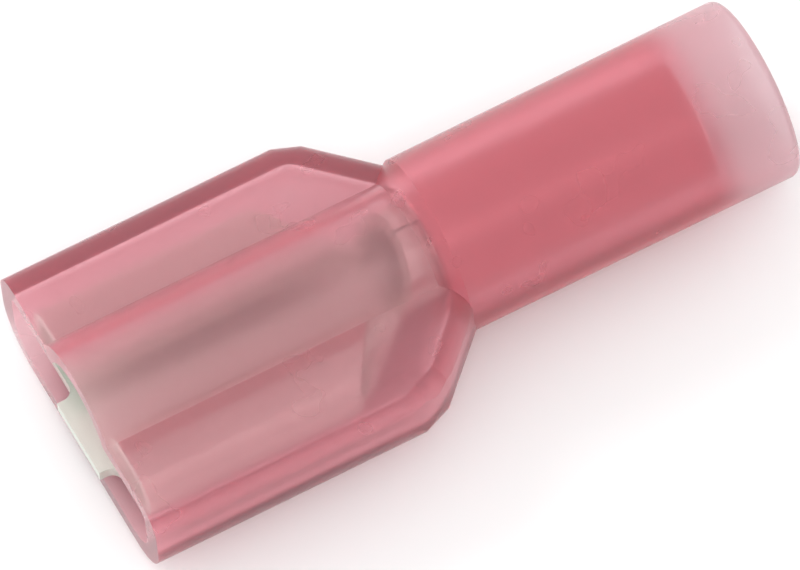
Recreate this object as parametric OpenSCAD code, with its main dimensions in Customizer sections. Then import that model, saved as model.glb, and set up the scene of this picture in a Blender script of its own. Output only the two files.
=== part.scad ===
// Fully insulated female spade terminal (quick-disconnect receptacle).
// A translucent nylon housing holds a stamped receptacle terminal and the
// support sleeve that is pressed over its wire barrel.
// X runs from the tab mouth to the wire entry, Z is up, and the part lies on
// the underside of its round barrel.

/* [Housing] */
// Length from the tab mouth to the wire entry
overall_l = 22.5; // [20.5:0.5:26]
// Width of the flat box round the receptacle
box_w = 9.9; // [9.6:0.1:11]
// Nylon between the cavity and the outside at the sides of the box
side_wall = 0.7; // [0.4:0.05:0.9]
// Nylon over and under the cavity, and over the channel
flat_wall = 0.55; // [0.4:0.05:0.8]
// Length of the box before its shoulders begin to turn in
box_l = 8.45; // [8.3:0.05:9.2]
// Plan radius of the box's rear corners
shoulder_r = 2.4; // [1.9:0.1:2.5]
// Angle at which the shoulders run in to the barrel
shoulder_deg = 45; // [38:1:50]
// Edge radius along the top of the box
top_edge_r = 0.9; // [0.6:0.05:1.1]
// Edge radius along the underside of the box
bottom_edge_r = 1.6; // [1:0.1:1.7]

/* [Barrel] */
// Outside diameter of the barrel where it leaves the box
barrel_d = 5.64; // [5.4:0.02:6.4]
// Growth of the barrel's diameter up to the wire entry, the mould's draft
barrel_draft = 0.07; // [0:0.01:0.2]
// Place where the barrel reaches its full diameter
barrel_x = 11.55; // [11.4:0.05:12.4]
// Radius of the rim round the wire entry
rim_r = 0.25; // [0.1:0.05:0.35]
// Length of the funnel at the wire entry
funnel_l = 2.2; // [1.2:0.1:2.4]
// Width left on the end face round the funnel
rim_land = 0.42; // [0.4:0.02:0.7]

/* [Terminal] */
// Thickness of the strip that the terminal is stamped from
stock = 0.4; // [0.3:0.05:0.45]
// Width of the receptacle over its rolled flanges
receptacle_w = 7.5; // [7.2:0.1:7.8]
// Height of the receptacle from its base to the top of the flanges
receptacle_h = 2.1; // [1.9:0.05:2.2]
// Thickness of the tab that the receptacle takes
tab_t = 0.8; // [0.5:0.05:0.9]
// Opening between the lips of the two flanges
lip_gap = 2.3; // [1.6:0.1:2.6]
// Distance from the housing's mouth to the front of the flanges
recess = 0.45; // [0.2:0.05:0.8]
// Length of the flanges along their lips
flange_l = 8.55; // [7.5:0.05:8.8]
// Angle of the slanted cut at the back of the flanges
flange_cut_deg = 33; // [20:1:40]
// Width of the cut-off tongue at the front of the base
tongue_w = 2.7; // [1.6:0.1:3.4]
// Distance that the tongue stands out of the mouth
tongue_out = 0.12; // [0:0.02:0.3]
// Outside diameter of the wire barrel
crimp_d = 3.2; // [3:0.05:3.3]
// Length of the wire barrel
crimp_l = 6; // [5:0.5:7]
// Place where the wire barrel begins
crimp_x = 9.8; // [9.6:0.1:10.4]
// Diameters of the two holes along the middle of the base
front_hole_d = 0.9; // [0.6:0.1:1.2]
rear_hole_d = 1.3; // [0.8:0.1:1.6]
// Gap of the butt seam along the wire barrel
seam_gap = 0.06; // [0.02:0.01:0.15]

/* [Sleeve] */
// Wall of the support sleeve
sleeve_wall = 0.28; // [0.2:0.02:0.32]
// Length of the support sleeve
sleeve_l = 8.7; // [7:0.1:8.8]

/* [Clearances] */
// Clearance of the terminal over and under in the cavity
seat_gap = 0.12; // [0.06:0.02:0.2]
// Clearance at the diameter between barrel, sleeve and bore
sleeve_gap = 0.03; // [0.02:0.01:0.06]

/* [Hidden] */
$fn = 96;

barrel_r = barrel_d / 2;
entry_r = barrel_r + barrel_draft / 2;
crimp_r = crimp_d / 2;

// heights, measured from the barrel's axis
base_z = -crimp_r;
floor_z = base_z - seat_gap;
roof_z = base_z + receptacle_h + seat_gap;
box_bottom_z = floor_z - flat_wall;
box_top_z = roof_z + flat_wall;

// bends and edges of the terminal's strip
low_bend_r = stock + 0.3;
high_bend_r = stock + 0.55;
curl_r = stock + 0.15;
tongue_r = 0.35;
neck_x = recess + 6.95;
neck_h = 1.15;
neck_inset = 0.03; // the neck's sides start this far inside the flanges' sides
front_hole_x = recess + 2.05;
rear_hole_x = recess + 5.2;
barrel_cut_deg = 20;

// round passages
channel_r = crimp_r + seat_gap + sleeve_gap;
dome_r = channel_r + flat_wall;
sleeve_in_r = crimp_r + sleeve_gap / 2;
sleeve_out_r = sleeve_in_r + sleeve_wall;
bore_r = sleeve_out_r + sleeve_gap / 2;
funnel_r = entry_r - rim_land;
bore_x = barrel_x - 0.15;
sleeve_x = bore_x + sleeve_gap;

module placed() {
    translate([-(overall_l - tongue_out) / 2, 0, entry_r]) children();
}

module lengthways(x, l) {
    translate([x, 0, 0]) rotate([90, 0, 90]) linear_extrude(l) children();
}

module about_axis() {
    rotate([0, 90, 0]) rotate([0, 0, 90]) rotate_extrude() children();
}

// Half-round channel over the middle of the box
module arch(r) {
    intersection() {
        circle(r);
        translate([-r, 0]) square([2 * r, r]);
    }
}

module both_sides() {
    children();
    mirror([0, 1, 0]) children();
}

// Cross-section of the box, from y = -back to y = w, rounded at w only
module edge_section(back, w, lo, hi, r_lo, r_hi) {
    translate([-back, lo]) square([back + w - r_lo, hi - lo - r_hi]);
    translate([-back, lo + r_lo]) square([back + w, hi - lo - r_lo - r_hi]);
    translate([-back, lo + r_lo]) square([back + w - r_hi, hi - lo - r_lo]);
    translate([w - r_lo, lo + r_lo]) circle(r_lo);
    translate([w - r_hi, hi - r_hi]) circle(r_hi);
}

// Plan outline of the box: straight sides, round corners, slanting shoulders
module box_plan(x0, w, r) {
    turn_y = w - r;
    tangent = [box_l + r * sin(shoulder_deg), turn_y + r * cos(shoulder_deg)];
    end_y = crimp_r * 0.6;
    end_x = tangent[0] + (tangent[1] - end_y) / tan(shoulder_deg);
    for (side = [-1, 1]) translate([box_l, side * turn_y]) circle(r);
    translate([x0, -w]) square([box_l - x0, 2 * w]);
    polygon([
        [box_l - 1, -turn_y], [box_l, -turn_y], [tangent[0], -tangent[1]], [end_x, -end_y],
        [end_x, end_y], [tangent[0], tangent[1]], [box_l, turn_y], [box_l - 1, turn_y]
    ]);
}

// Flat box with rounded edges, whose shoulders turn in to the barrel.
// inset moves every wall inwards, so one module makes box and cavity, and
// turns is the number of steps in which the edges follow the corner.
module box(inset, lo, hi, r_lo, r_hi, x0, turns) {
    w = box_w / 2 - inset;
    r = shoulder_r - inset;
    intersection() {
        translate([0, 0, lo - 1]) linear_extrude(hi - lo + 2) box_plan(x0, w, r);
        intersection_for(side = [0, 1], i = [0:turns]) mirror([0, side, 0])
            translate([box_l, w - r, 0]) rotate([0, 0, -shoulder_deg * i / turns])
                lengthways(-box_w * 2, box_w * 4)
                    edge_section(box_w * 2, r, lo, hi, r_lo, r_hi);
    }
}

// Outline of the barrel: distance from the axis against place along it
module barrel_outline() {
    difference() {
        union() {
            polygon([
                [0, barrel_x - barrel_r], [dome_r, barrel_x - (barrel_r - dome_r) * 1.2],
                [barrel_r, barrel_x], [entry_r, overall_l - rim_r], [0, overall_l - rim_r]
            ]);
            translate([0, overall_l - 2 * rim_r]) square([entry_r - rim_r, 2 * rim_r]);
            translate([entry_r - rim_r, overall_l - rim_r]) circle(rim_r);
        }
        translate([-rim_r, 0]) square([rim_r, overall_l * 2]);
    }
}

// Everything hollow in the housing
module passages() {
    cavity_r_lo = bottom_edge_r - flat_wall;
    cavity_r_hi = max(top_edge_r - flat_wall, 0.2);
    box(side_wall, floor_z, roof_z, cavity_r_lo, cavity_r_hi, -1, 1);
    lengthways(-1, bore_x + 1.5) arch(channel_r);
    about_axis() {
        translate([0, bore_x]) square([bore_r, overall_l - funnel_l - bore_x]);
        polygon([
            [0, overall_l - funnel_l - 0.5], [bore_r, overall_l - funnel_l - 0.5],
            [bore_r, overall_l - funnel_l], [funnel_r, overall_l],
            [funnel_r, overall_l + 1], [0, overall_l + 1]
        ]);
    }
}

module nylon_housing() {
    color([0.86, 0.36, 0.43, 0.6]) placed() difference() {
        union() {
            box(0, box_bottom_z, box_top_z, bottom_edge_r, top_edge_r, 0, 2);
            lengthways(0, barrel_x) arch(dome_r);
            about_axis() barrel_outline();
        }
        passages();
    }
}

// A quarter of a bend in the strip, in the quadrant that sy and sz give
module bend(r, sy, sz) {
    intersection() {
        difference() {
            circle(r);
            circle(r - stock);
        }
        translate([min(sy, 0) * r, min(sz, 0) * r]) square(r);
    }
}

// Strip bent up at the edge of the base: lower bend and upright side
module upright(w, h) {
    translate([w - low_bend_r, base_z + low_bend_r]) bend(low_bend_r, 1, -1);
    translate([w - stock, base_z + low_bend_r]) square([stock, h - low_bend_r]);
}

// Half of the receptacle's cross-section: base, side, rolled flange and lip
module flange_section() {
    w = receptacle_w / 2;
    lip_y = lip_gap / 2;
    top_z = base_z + receptacle_h;
    lip_z = base_z + stock + tab_t;
    translate([0, base_z]) square([w - low_bend_r, stock]);
    upright(w, receptacle_h - high_bend_r);
    translate([w - high_bend_r, top_z - high_bend_r]) bend(high_bend_r, 1, 1);
    translate([lip_y + curl_r, top_z - stock]) square([w - high_bend_r - lip_y - curl_r, stock]);
    translate([lip_y + curl_r, top_z - curl_r]) bend(curl_r, -1, 1);
    translate([lip_y, lip_z]) square([stock, top_z - curl_r - lip_z]);
}

// Rolled flanges, whose backs are cut on a slant from the lips outwards
module flanges() {
    end_x = recess + flange_l;
    step_z = base_z + neck_h;
    both_sides() difference() {
        lengthways(recess, flange_l) flange_section();
        translate([0, 0, step_z]) linear_extrude(receptacle_h)
            translate([end_x, lip_gap / 2]) rotate(flange_cut_deg) square([4, receptacle_w]);
        translate([neck_x, 0, base_z - 1]) cube([flange_l, receptacle_w, neck_h + 1]);
    }
}

// Base strip: cut-off tongue in front, holes, and the tapering neck behind
module base() {
    flat_w = receptacle_w / 2 - low_bend_r;
    translate([0, 0, base_z]) linear_extrude(stock) difference() {
        union() {
            translate([-tongue_out, -tongue_w / 2]) square([tongue_out + recess + 1, tongue_w]);
            polygon([
                [recess, -flat_w], [neck_x, -flat_w], [crimp_x, -crimp_r * 0.6],
                [crimp_x + 0.5, -crimp_r * 0.3], [crimp_x + 0.5, crimp_r * 0.3],
                [crimp_x, crimp_r * 0.6], [neck_x, flat_w], [recess, flat_w]
            ]);
            for (side = [-1, 1]) translate([recess - tongue_r, side * tongue_w / 2])
                tongue_fillet(side);
        }
        translate([front_hole_x, 0]) circle(d = front_hole_d);
        translate([rear_hole_x, 0]) circle(d = rear_hole_d);
    }
}

// Round inside corner between the tongue and the front edge of the base
module tongue_fillet(side) {
    difference() {
        translate([0, min(side, 0) * tongue_r]) square([tongue_r + 0.1, tongue_r]);
        translate([0, side * tongue_r]) circle(tongue_r);
    }
}

// Upright sides of the neck, which lead from the flanges to the wire barrel
module neck_sides() {
    drop = receptacle_w / 2 - crimp_r;
    turn = atan2(drop, crimp_x - neck_x);
    l = norm([drop, crimp_x - neck_x]);
    both_sides() translate([neck_x - neck_inset, receptacle_w / 2 - neck_inset, 0])
        rotate([0, 0, -turn])
            lengthways(0, l + stock) upright(0, neck_h);
}

// Wire barrel: the strip rolled round, with a butt seam along its top
module crimp_barrel() {
    difference() {
        lengthways(crimp_x, crimp_l) difference() {
            circle(crimp_r);
            circle(crimp_r - stock);
            translate([-seam_gap / 2, 0]) square([seam_gap, crimp_r * 2]);
        }
        translate([crimp_x, 0, base_z + neck_h]) rotate([0, barrel_cut_deg - 90, 0])
            translate([0, -crimp_d, 0]) cube([crimp_d * 2, crimp_d * 2, crimp_d]);
    }
}

module receptacle_terminal() {
    color([0.8, 0.79, 0.75]) placed() {
        flanges();
        base();
        neck_sides();
        crimp_barrel();
    }
}

module support_sleeve() {
    edge = sleeve_wall * 0.3;
    end_x = sleeve_x + sleeve_l;
    color([0.8, 0.6, 0.42]) placed() about_axis() polygon([
        [sleeve_in_r, sleeve_x], [sleeve_out_r - edge, sleeve_x],
        [sleeve_out_r, sleeve_x + edge], [sleeve_out_r, end_x - edge],
        [sleeve_out_r - edge, end_x], [sleeve_in_r + edge, end_x], [sleeve_in_r, end_x - edge]
    ]);
}

nylon_housing();
receptacle_terminal();
support_sleeve();
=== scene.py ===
"""Insulated female spade terminal: finishes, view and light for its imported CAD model.

In the part's frame +X runs from the mouth to the wire entry and +Z is up.
"""

import math

import bpy
from mathutils import Matrix, Vector

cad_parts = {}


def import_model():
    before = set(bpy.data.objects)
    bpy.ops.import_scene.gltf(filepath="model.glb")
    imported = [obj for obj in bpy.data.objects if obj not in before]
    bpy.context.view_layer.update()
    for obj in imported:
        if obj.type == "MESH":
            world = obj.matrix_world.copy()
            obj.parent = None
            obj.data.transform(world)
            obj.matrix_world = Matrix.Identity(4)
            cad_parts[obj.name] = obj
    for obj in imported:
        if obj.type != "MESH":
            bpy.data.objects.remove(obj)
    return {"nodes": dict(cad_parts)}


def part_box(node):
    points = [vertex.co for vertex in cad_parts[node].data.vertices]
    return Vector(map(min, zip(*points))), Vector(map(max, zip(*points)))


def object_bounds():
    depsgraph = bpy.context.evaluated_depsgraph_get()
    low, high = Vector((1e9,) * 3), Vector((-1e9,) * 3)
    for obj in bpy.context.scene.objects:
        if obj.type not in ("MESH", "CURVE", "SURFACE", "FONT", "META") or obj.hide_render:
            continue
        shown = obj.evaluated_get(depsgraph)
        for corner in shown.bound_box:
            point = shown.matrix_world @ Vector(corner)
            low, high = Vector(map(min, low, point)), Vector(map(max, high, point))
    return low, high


MM = 0.001
WHITE = (1, 1, 1, 1)

# The view
LEAN = math.radians(28.438)  # from straight above to the part's -Y side
TURN = math.radians(11.016)  # then towards the mouth
CLIMB = math.radians(25.962)  # of the long axis across the picture
CAMERA_DISTANCE = 500 * MM
PICTURE_WIDTH = 23.44 * MM  # at the part
SENSOR_WIDTH = 36  # millimetres, as Blender takes it
CLIP_NEAR = 0.01
CLIP_FAR = 10
AXIS_MIDDLE_X = 0.06 * MM  # of the housing, without the tongue that stands out of the mouth
AIM_ALONG = -0.938 * MM  # from the middle of the axis
AIM_ACROSS = 0.660 * MM

# Nylon
NYLON_IOR = 1.35
NYLON_ROUGHNESS = (0.24, 0.33)
NYLON_PATCHES = 500  # noise scale, per metre
NYLON_GRAIN = 4000
NYLON_GRAIN_DEPTH = 0.0004 * MM
COAT_WEIGHT = 0.3
COAT_ROUGHNESS = 0.2
MILK = (0.92, 0.50, 0.57, 1)
MILK_DEEP = (0.86, 0.42, 0.50, 1)
# Painted light: a paler milk colour at the wire entry, for light shining through its thin wall
MILK_SHINE_THROUGH = (0.86, 0.74, 0.77, 1)
MILK_CLOUDS = 260
MILK_CLOUD_DETAIL = 3
MILKINESS = 0.19
SHINE_THROUGH_MILKINESS = 0.5  # painted light at the wire entry, where the wall thins to its rim: paler and milkier there, for light shining through the thin wall
SHINE_THROUGH_FROM = 8.2 * MM
SHINE_THROUGH_TO = 9.7 * MM
DYE = (0.93, 0.28, 0.38, 1)
DYE_DENSITY = 660

# Metals
METALLIC = 0.5
METAL_GRAIN = 900
METAL_GRAIN_DETAIL = 4
METAL_GRAIN_DEPTH = 0.004 * MM
METAL_GRAIN_STRETCH = (0.3, 1, 1)  # drawn out along the strip
METAL_SMOOTHER = 0.08  # how far the roughness falls, and rises, from its middle value
METAL_ROUGHER = 0.1
METAL_DULLING = 0.92  # of the colour, where the grain is high
TIN = (0.76, 0.82, 0.74, 1)
TIN_ROUGHNESS = 0.36
COPPER = (0.80, 0.37, 0.40, 1)
COPPER_ROUGHNESS = 0.34
SMOOTH_ANGLE = math.radians(32)

# Light and floor
WORLD_STRENGTH = 0.92
KEY_DISTANCE = 250 * MM
KEY_SHIFT = Vector((0, -0.05, 0.05))  # from the line to the camera
KEY_SIZE = 0.12
KEY_POWER = 0.22
FILL_PLACE = Vector((-0.08, 0.22, 0.16))  # from the part's middle
FILL_SIZE = 0.16
FILL_POWER = 0.26
FLOOR_COLOUR = (0.96, 0.96, 0.96, 1)
FLOOR_ROUGHNESS = 0.9
FLOOR_SIZE = 2.0
FLOOR_Z = -0.02 * MM


def camera_axes():
    """Along the part and across it as the picture shows them, and the direction to the camera."""
    side = math.sin(LEAN)
    above = math.cos(LEAN)
    along = Vector((math.cos(TURN), -math.sin(TURN) * side, math.sin(TURN) * above))
    across = Vector((0, -above, -side))
    back = Vector((-math.sin(TURN), -math.cos(TURN) * side, math.cos(TURN) * above))
    return along, across, back


def add_camera(middle):
    along, across, back = camera_axes()
    right = math.cos(CLIMB) * along + math.sin(CLIMB) * across
    up = math.sin(CLIMB) * along - math.cos(CLIMB) * across
    camera = bpy.data.objects.new("camera", bpy.data.cameras.new("camera"))
    bpy.context.collection.objects.link(camera)
    centre = middle + AIM_ALONG * along + AIM_ACROSS * across
    turned = Matrix((right, up, back)).transposed().to_4x4()
    camera.matrix_world = Matrix.Translation(centre + CAMERA_DISTANCE * back) @ turned
    camera.data.sensor_width = SENSOR_WIDTH
    camera.data.lens = SENSOR_WIDTH * CAMERA_DISTANCE / PICTURE_WIDTH
    camera.data.clip_start = CLIP_NEAR
    camera.data.clip_end = CLIP_FAR
    bpy.context.scene.camera = camera


def new_material(name):
    material = bpy.data.materials.new(name)
    material.use_nodes = True
    tree = material.node_tree
    return material, tree.nodes, tree.links, tree.nodes["Principled BSDF"]


def noise(nodes, links, scale, detail=2, stretch=(1, 1, 1)):
    """Noise in the part's own metres, stretched along its axes."""
    place = nodes.new("ShaderNodeTexCoord")
    mapping = nodes.new("ShaderNodeMapping")
    mapping.inputs["Scale"].default_value = stretch
    texture = nodes.new("ShaderNodeTexNoise")
    texture.inputs["Scale"].default_value = scale
    texture.inputs["Detail"].default_value = detail
    links.new(place.outputs["Object"], mapping.inputs["Vector"])
    links.new(mapping.outputs["Vector"], texture.inputs["Vector"])
    return texture.outputs["Fac"]


def spread(nodes, links, value, low, high):
    """Takes a value from 0 to 1 to the range from low to high."""
    node = nodes.new("ShaderNodeMapRange")
    node.inputs["To Min"].default_value = low
    node.inputs["To Max"].default_value = high
    links.new(value, node.inputs["Value"])
    return node.outputs["Result"]


def add_bump(nodes, links, height, depth, *normals):
    """Bump of this depth on each of the shader's normal sockets."""
    bump = nodes.new("ShaderNodeBump")
    bump.inputs["Strength"].default_value = 1
    bump.inputs["Distance"].default_value = depth
    links.new(height, bump.inputs["Height"])
    for normal in normals:
        links.new(bump.outputs["Normal"], normal)


def mix_colours(nodes, links, factor, first, second):
    """Goes from the first colour to the second; each is a plain colour or another node's output."""
    node = nodes.new("ShaderNodeMix")
    node.data_type = "RGBA"
    ends = [socket for socket in node.inputs if socket.type == "RGBA"]
    for socket, colour in zip(ends, (first, second)):
        if isinstance(colour, bpy.types.NodeSocket):
            links.new(colour, socket)
        else:
            socket.default_value = colour
    links.new(factor, node.inputs["Factor"])
    return next(socket for socket in node.outputs if socket.type == "RGBA")


def mix_shaders(nodes, links, first, second):
    """Returns the mix node; its Fac is the share of the second shader."""
    node = nodes.new("ShaderNodeMixShader")
    links.new(first, node.inputs[1])
    links.new(second, node.inputs[2])
    return node


def painted_shine_through_mask(nodes, links):
    """Mask of painted light shining through the thin wall: 0 over most of the part, 1 at its wire
    entry.
    """
    place = nodes.new("ShaderNodeTexCoord")
    parts = nodes.new("ShaderNodeSeparateXYZ")
    rise = nodes.new("ShaderNodeMapRange")
    rise.interpolation_type = "SMOOTHSTEP"
    rise.inputs["From Min"].default_value = SHINE_THROUGH_FROM
    rise.inputs["From Max"].default_value = SHINE_THROUGH_TO
    links.new(place.outputs["Object"], parts.inputs["Vector"])
    links.new(parts.outputs["X"], rise.inputs["Value"])
    return rise.outputs["Result"]


def clear_nylon(nodes, links, shader):
    """Rough refraction under a thin moulded skin."""
    shader.inputs["Base Color"].default_value = WHITE
    shader.inputs["IOR"].default_value = NYLON_IOR
    shader.inputs["Transmission Weight"].default_value = 1
    shader.inputs["Coat Weight"].default_value = COAT_WEIGHT
    shader.inputs["Coat Roughness"].default_value = COAT_ROUGHNESS
    patches = noise(nodes, links, NYLON_PATCHES)
    links.new(spread(nodes, links, patches, *NYLON_ROUGHNESS), shader.inputs["Roughness"])
    grain = noise(nodes, links, NYLON_GRAIN)
    add_bump(
        nodes, links, grain, NYLON_GRAIN_DEPTH, shader.inputs["Normal"], shader.inputs["Coat Normal"]
    )
    return shader.outputs["BSDF"]


def milky_nylon(nodes, links, painted_shine_through):
    """The cloudy share, half thrown back and half let through; painted paler at the wire entry, for
    light shining through the thin wall.
    """
    clouds = noise(nodes, links, MILK_CLOUDS, MILK_CLOUD_DETAIL)
    cloudy = mix_colours(nodes, links, clouds, MILK, MILK_DEEP)
    colour = mix_colours(nodes, links, painted_shine_through, cloudy, MILK_SHINE_THROUGH)
    thrown_back = nodes.new("ShaderNodeBsdfDiffuse")
    let_through = nodes.new("ShaderNodeBsdfTranslucent")
    links.new(colour, thrown_back.inputs["Color"])
    links.new(colour, let_through.inputs["Color"])
    milk = mix_shaders(nodes, links, thrown_back.outputs["BSDF"], let_through.outputs["BSDF"])
    milk.inputs["Fac"].default_value = 0.5
    return milk.outputs["Shader"]


def nylon():
    """Clear and milky nylon, with red dye through its thickness: thick walls look deeper."""
    material, nodes, links, shader = new_material("translucent_nylon")
    output = nodes["Material Output"]
    painted_shine_through = painted_shine_through_mask(nodes, links)
    clear = clear_nylon(nodes, links, shader)
    milky = milky_nylon(nodes, links, painted_shine_through)
    body = mix_shaders(nodes, links, clear, milky)
    # the milky share rises at the wire entry: painted light shining through the thin wall
    links.new(spread(nodes, links, painted_shine_through, MILKINESS, SHINE_THROUGH_MILKINESS), body.inputs["Fac"])
    links.new(body.outputs["Shader"], output.inputs["Surface"])
    dye = nodes.new("ShaderNodeVolumeAbsorption")
    dye.inputs["Color"].default_value = DYE
    dye.inputs["Density"].default_value = DYE_DENSITY
    links.new(dye.outputs["Volume"], output.inputs["Volume"])
    return material


def sheet_metal(name, colour, roughness):
    """Satin rolled strip, with its grain along the part."""
    material, nodes, links, shader = new_material(name)
    shader.inputs["Metallic"].default_value = METALLIC
    grain = noise(nodes, links, METAL_GRAIN, METAL_GRAIN_DETAIL, METAL_GRAIN_STRETCH)
    dull = [channel * METAL_DULLING for channel in colour[:3]] + [1]
    links.new(mix_colours(nodes, links, grain, colour, dull), shader.inputs["Base Color"])
    rough = spread(nodes, links, grain, roughness - METAL_SMOOTHER, roughness + METAL_ROUGHER)
    links.new(rough, shader.inputs["Roughness"])
    add_bump(nodes, links, grain, METAL_GRAIN_DEPTH, shader.inputs["Normal"])
    return material


def dress(node, material):
    """Gives a CAD node its finish, and smooth shading across its curved faces."""
    for polygon in node.data.polygons:
        polygon.use_smooth = True
    node.data.set_sharp_from_angle(angle=SMOOTH_ANGLE)
    if not node.material_slots:
        node.data.materials.append(material)
    for slot in node.material_slots:
        slot.material = material


def add_lamp(name, place, aim, size, power):
    lamp = bpy.data.objects.new(name, bpy.data.lights.new(name, "AREA"))
    bpy.context.collection.objects.link(lamp)
    lamp.data.shape = "DISK"
    lamp.data.size = size
    lamp.data.energy = power
    lamp.location = place
    lamp.rotation_euler = (aim - place).to_track_quat("-Z", "Y").to_euler()


def add_lamps(middle):
    back = camera_axes()[2]
    key_place = middle + back * KEY_DISTANCE + KEY_SHIFT
    add_lamp("key", key_place, middle, KEY_SIZE, KEY_POWER)
    add_lamp("fill", middle + FILL_PLACE, middle, FILL_SIZE, FILL_POWER)


def add_floor():
    bpy.ops.mesh.primitive_plane_add(size=FLOOR_SIZE, location=(0, 0, FLOOR_Z))
    floor = bpy.context.object
    floor.name = "floor"
    material, _, _, shader = new_material("pale_floor")
    shader.inputs["Base Color"].default_value = FLOOR_COLOUR
    shader.inputs["Roughness"].default_value = FLOOR_ROUGHNESS
    floor.data.materials.append(material)


def add_world():
    world = bpy.data.worlds.new("studio")
    bpy.context.scene.world = world
    world.use_nodes = True
    background = world.node_tree.nodes["Background"]
    background.inputs["Color"].default_value = WHITE
    background.inputs["Strength"].default_value = WORLD_STRENGTH


def set_light_paths():
    """Long enough for light to cross every nylon wall twice."""
    cycles = bpy.context.scene.cycles
    cycles.max_bounces = 24
    cycles.transmission_bounces = 20
    cycles.diffuse_bounces = 6
    cycles.transparent_max_bounces = 16


def main():
    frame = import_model()
    cad_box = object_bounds()
    sleeve_low, sleeve_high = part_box("support_sleeve")
    middle_x = (cad_box[0][0] + cad_box[1][0]) / 2 + AXIS_MIDDLE_X
    middle = Vector((middle_x, 0, (sleeve_low.z + sleeve_high.z) / 2))

    nodes = frame["nodes"]
    dress(nodes["nylon_housing"], nylon())
    dress(nodes["receptacle_terminal"], sheet_metal("tin_plate", TIN, TIN_ROUGHNESS))
    dress(nodes["support_sleeve"], sheet_metal("bare_copper_alloy", COPPER, COPPER_ROUGHNESS))

    add_camera(middle)
    add_world()
    add_floor()
    add_lamps(middle)
    set_light_paths()
    bpy.context.scene.view_settings.view_transform = "Standard"


main()
